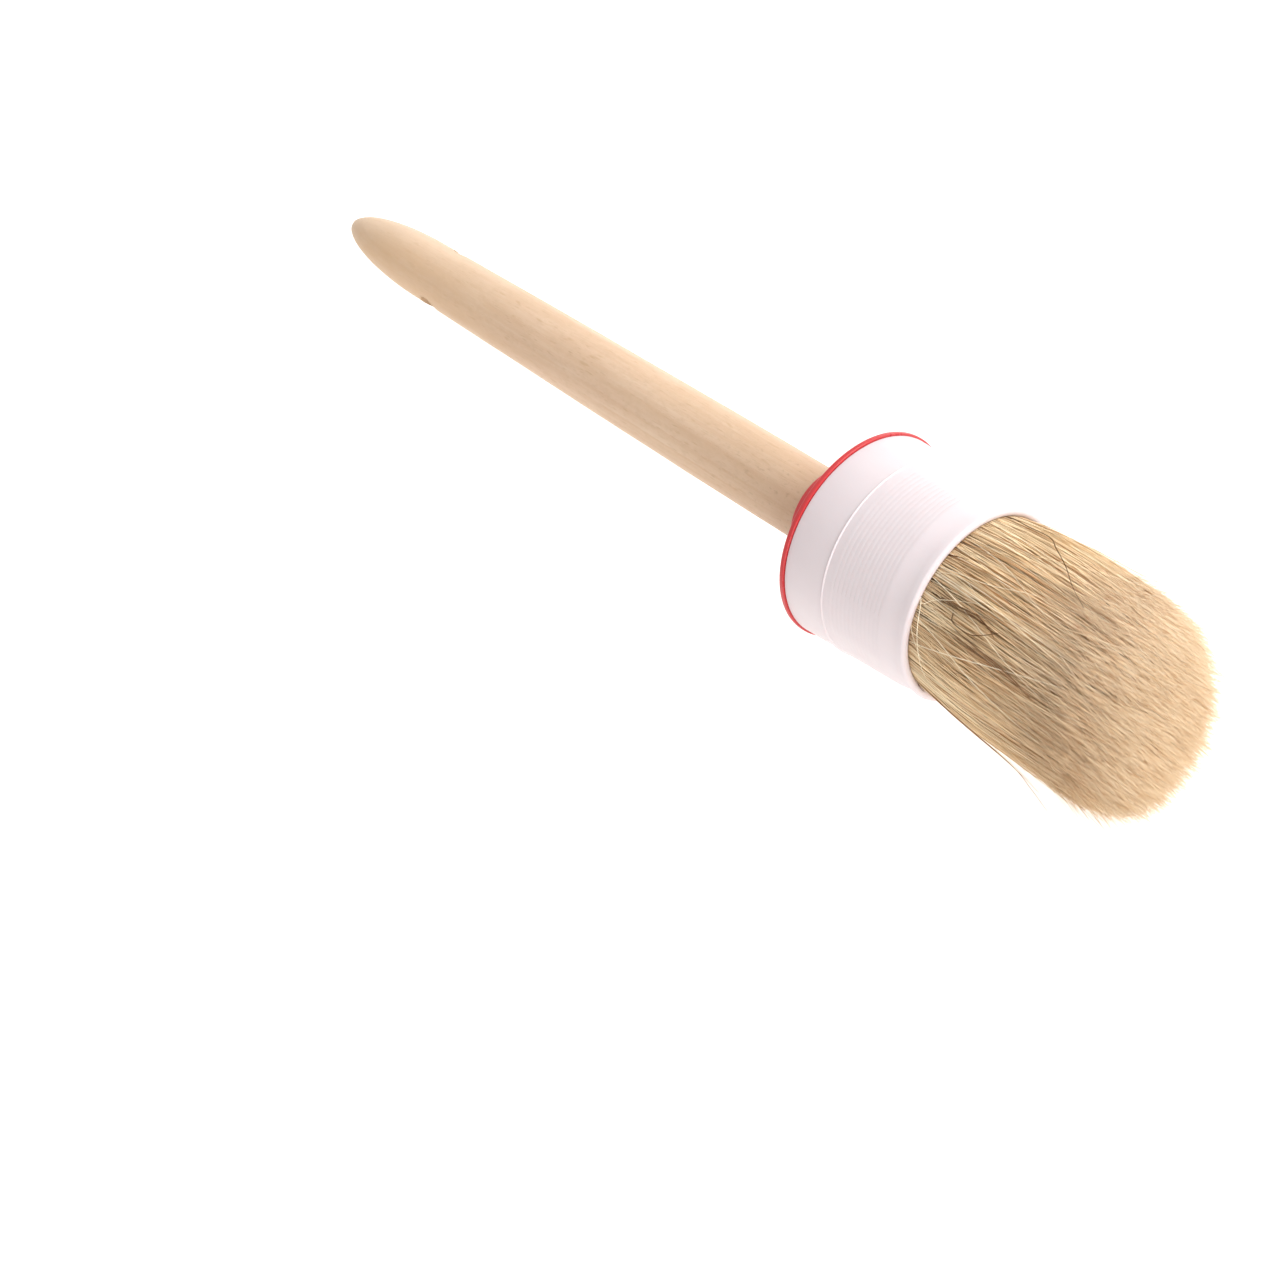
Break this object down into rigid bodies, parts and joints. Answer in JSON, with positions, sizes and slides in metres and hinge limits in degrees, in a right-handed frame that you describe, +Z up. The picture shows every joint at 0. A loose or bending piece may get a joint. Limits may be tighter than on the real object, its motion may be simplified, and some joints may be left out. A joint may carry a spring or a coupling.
{
  "type": "round stencil brush",
  "caption": "Large round stencil brush lying on its side: bullet-tipped wooden handle with a hanging hole, red collar cap, white ribbed ferrule and a domed knot of pale natural bristle.",
  "frame": {"origin": "on the surface the brush lies on, under the middle of its length", "axes": "+X along the brush's axis towards the bristle tips, +Y level and parallel to the hanging hole, +Z up"},
  "size_m": [0.2846, 0.0498, 0.0499],
  "materials": {
    "birch_wood": "matte",
    "red_plastic": "satin",
    "white_plastic": "satin",
    "core_plastic": "matte",
    "resin": "gloss",
    "bristle": "matte"
  },
  "bodies": {
    "root": {"handle": "birch_wood", "collar_cap": "red_plastic", "ferrule": "white_plastic", "core_plug": "core_plastic", "resin_setting": "resin", "bristle_knot": "bristle"}
  },
  "joints": []
}
